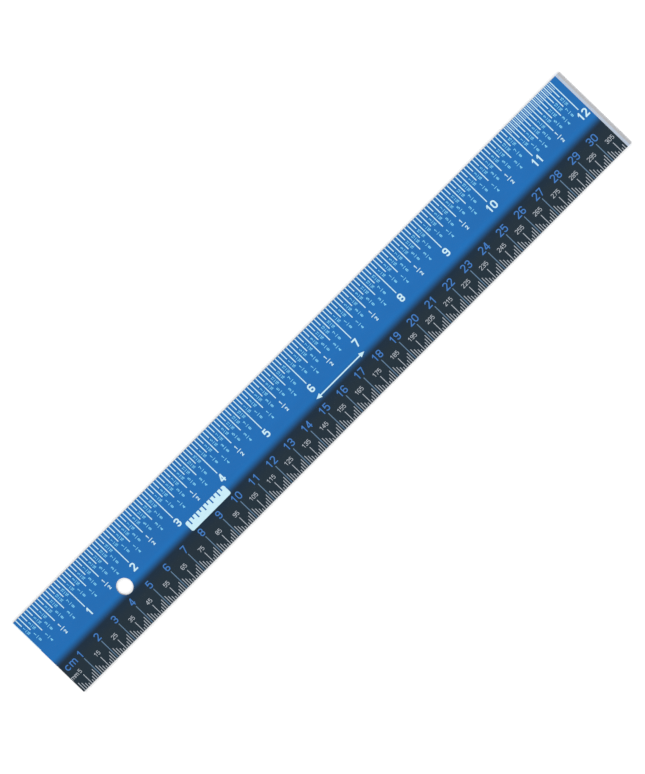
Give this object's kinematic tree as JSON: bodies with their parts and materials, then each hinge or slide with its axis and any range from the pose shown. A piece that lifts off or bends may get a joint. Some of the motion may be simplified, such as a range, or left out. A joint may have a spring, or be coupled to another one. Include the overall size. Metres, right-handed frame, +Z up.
{
  "type": "steel ruler",
  "caption": "Flat stainless steel rule with a blue inch scale, a black metric scale, printed graduations and a round hang hole near the zero end.",
  "frame": {"origin": "centre of the underside, where the rule rests", "axes": "+X along the scales towards the 12 inch end, +Y across the blade towards the inch edge, +Z up out of the printed face"},
  "size_m": [0.31, 0.0382, 0.0011],
  "materials": {
    "stainless_steel": "brushed stainless steel, satin",
    "blue_enamel": "baked blue enamel, semi-gloss, fading to black along its inner side",
    "black_enamel": "baked charcoal black enamel, semi-gloss",
    "white_ink": "white screen-printed ink, satin",
    "pale_blue_ink": "pale blue screen-printed ink, satin",
    "light_grey_ink": "light grey screen-printed ink, satin",
    "deep_blue_ink": "deep blue screen-printed ink, satin",
    "slate_blue_ink": "slate blue screen-printed ink, satin"
  },
  "bodies": {
    "root": {"black_enamel": "black_enamel", "blue_enamel": "blue_enamel", "centimetre_numerals": "deep_blue_ink", "centimetre_ticks": "slate_blue_ink", "centimetre_unit": "deep_blue_ink", "eighth_inch_fractions": "pale_blue_ink", "eighth_inch_ticks": "white_ink", "half_centimetre_ticks": "light_grey_ink", "half_inch_fractions": "white_ink", "half_inch_ticks": "white_ink", "inch_numerals": "white_ink", "length_arrow": "white_ink", "millimetre_numerals": "light_grey_ink", "millimetre_ticks": "light_grey_ink", "millimetre_unit": "light_grey_ink", "quarter_inch_fractions": "pale_blue_ink", "quarter_inch_ticks": "white_ink", "rule_picture": "white_ink", "sixteenth_inch_fractions": "pale_blue_ink", "sixteenth_inch_ticks": "white_ink", "steel_blade": "stainless_steel", "thirty_second_inch_ticks": "white_ink", "whole_inch_ticks": "white_ink"}
  },
  "joints": []
}
